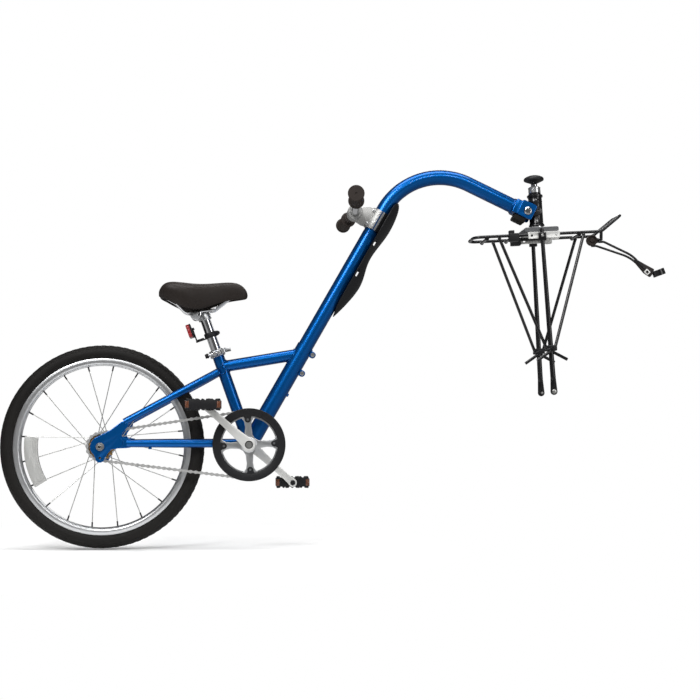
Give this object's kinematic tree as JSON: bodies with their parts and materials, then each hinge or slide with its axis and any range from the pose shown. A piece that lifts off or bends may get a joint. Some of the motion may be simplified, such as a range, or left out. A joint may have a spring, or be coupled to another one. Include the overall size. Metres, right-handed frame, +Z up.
{
  "type": "trailer bike",
  "caption": "Child's one-wheeled trailer bike: bent tow tube on a swivelling rack hitch, chain drive, saddle and handlebar, with its rear rack for the towing bicycle.",
  "frame": {"origin": "midway between the bolt holes of the rack's two feet, where the rack is bolted to the towing bicycle", "axes": "+X forward, +Y left, +Z up; the chain side is -Y"},
  "size_m": [1.6317, 0.5094, 0.9281],
  "materials": {
    "black_paint": "gloss black enamel",
    "blue_paint": "metallic blue enamel",
    "chrome": "bright",
    "silver_alloy": "satin",
    "zinc_steel": "zinc plated",
    "chain_steel": "oiled",
    "bronze_steel": "brown plated",
    "black_plastic": "fine grain",
    "black_rubber": "matte",
    "tyre_rubber": "matte tread",
    "saddle_vinyl": "soft satin",
    "red_lens": "prismatic",
    "clear_lens": "prismatic"
  },
  "bodies": {
    "rack": {"rack_deck": "black_paint", "rack_top_plate": "black_plastic", "rack_channel": "silver_alloy", "hitch_post": "chrome", "rack_leg_right": "black_paint", "rack_leg_left": "black_paint", "rear_strut_right": "black_paint", "rear_strut_left": "black_paint", "front_strut_right": "black_paint", "front_strut_left": "black_paint", "strut_clamp_right": "black_plastic", "strut_clamp_left": "black_plastic", "foot_bolt_right": "zinc_steel", "foot_bolt_left": "zinc_steel", "rack_disc": "black_rubber", "front_stay": "black_paint"},
    "liner": {"hitch_liner": "chrome"},
    "knob": {"release_knob": "chrome"},
    "sleeve": {"hitch_sleeve": "black_paint", "pitch_bolt": "zinc_steel"},
    "tow": {"tow_tube": "blue_paint", "hitch_yoke": "blue_paint", "yoke_bumper": "black_rubber"},
    "bar_clamp": {"bar_clamp_body": "silver_alloy", "bar_clamp_band": "black_plastic", "spray_guard": "black_plastic"},
    "bar": {"handlebar": "chrome", "grip_right": "black_rubber", "grip_left": "black_rubber"},
    "frame": {"down_tube": "blue_paint", "pinch_bolt_upper": "zinc_steel", "pinch_bolt_lower": "zinc_steel", "seat_tube": "blue_paint", "top_tube": "blue_paint", "chainstay_right": "blue_paint", "chainstay_left": "blue_paint", "seatstay_right": "blue_paint", "seatstay_left": "blue_paint", "axle": "zinc_steel", "chain": "chain_steel", "seat_collar": "black_paint"},
    "post_and_clamp": {"seatpost": "chrome", "saddle_clamp": "silver_alloy", "reflector_bracket": "black_plastic", "rear_reflector": "red_lens"},
    "saddle": {"saddle_cover": "saddle_vinyl", "saddle_rails": "chrome"},
    "release_lever": {"qr_lever": "silver_alloy"},
    "wheel": {"tyre": "tyre_rubber", "rim": "silver_alloy", "hub_and_spokes": "silver_alloy", "spoke_reflector": "clear_lens"},
    "freewheel": {"cog": "bronze_steel"},
    "crankset": {"crank_spindle": "silver_alloy", "chainring": "silver_alloy", "chain_guard": "black_plastic", "crank_right": "silver_alloy", "crank_left": "silver_alloy"},
    "right_pedal": {"pedal_right": "black_plastic"},
    "left_pedal": {"pedal_left": "black_plastic"}
  },
  "joints": [
    {"name": "hitch_lift", "type": "slide", "parent": "rack", "child": "liner", "axis": [-0.0576, 0, 0.9983], "range_m": [0, 0.12]},
    {"name": "release_press", "type": "slide", "parent": "liner", "child": "knob", "axis": [0.0576, 0, -0.9983], "range_m": [0, 0.006], "stiffness_N_per_m": 1500},
    {"name": "hitch_yaw", "type": "hinge", "parent": "liner", "child": "sleeve", "pos_m": [0, 0, 0], "axis": [-0.0576, 0, 0.9983], "range_deg": [-75, 75]},
    {"name": "hitch_pitch", "type": "hinge", "parent": "sleeve", "child": "tow", "pos_m": [-0.05051, 0, 0.44683], "axis": [0, 1, 0], "range_deg": [-12, 20]},
    {"name": "bar_clamp_slide", "type": "slide", "parent": "tow", "child": "bar_clamp", "axis": [-0.4955, 0, -0.8686], "range_m": [0, 0.05]},
    {"name": "handlebar_tilt", "type": "hinge", "parent": "bar_clamp", "child": "bar", "pos_m": [-0.47775, 0, 0.44083], "axis": [0, 1, 0], "range_deg": [-25, 25]},
    {"name": "frame_split", "type": "slide", "parent": "tow", "child": "frame", "axis": [-0.4955, 0, -0.8686], "range_m": [0, 0.16]},
    {"name": "seatpost_height", "type": "slide", "parent": "frame", "child": "post_and_clamp", "axis": [-0.3355, 0, 0.9421], "range_m": [-0.02, 0.08]},
    {"name": "release_lever_swing", "type": "hinge", "parent": "frame", "child": "release_lever", "pos_m": [-0.79719, -0.024, 0.0992], "axis": [0.3355, 0, -0.9421], "range_deg": [0, 110]},
    {"name": "saddle_tilt", "type": "hinge", "parent": "post_and_clamp", "child": "saddle", "pos_m": [-0.86482, 0, 0.18689], "axis": [0, 1, 0], "range_deg": [-8, 8]},
    {"name": "wheel_spin", "type": "hinge", "parent": "frame", "child": "wheel", "pos_m": [-1.08618, 0, -0.13222], "axis": [0, 1, 0], "continuous": true},
    {"name": "freewheel_spin", "type": "hinge", "parent": "frame", "child": "freewheel", "pos_m": [-1.08618, 0, -0.13222], "axis": [0, 1, 0], "continuous": true},
    {"name": "crank_spin", "type": "hinge", "parent": "frame", "child": "crankset", "pos_m": [-0.73418, 0, -0.12782], "axis": [0, 1, 0], "continuous": true},
    {"name": "right_pedal_spin", "type": "hinge", "parent": "crankset", "child": "right_pedal", "pos_m": [-0.84149, -0.099, -0.03255], "axis": [0, 1, 0], "continuous": true},
    {"name": "left_pedal_spin", "type": "hinge", "parent": "crankset", "child": "left_pedal", "pos_m": [-0.62687, 0.099, -0.2231], "axis": [0, 1, 0], "continuous": true}
  ],
  "couplings": [
    {"joint": "freewheel_spin", "follows": "crank_spin", "ratio": 2.5}
  ]
}
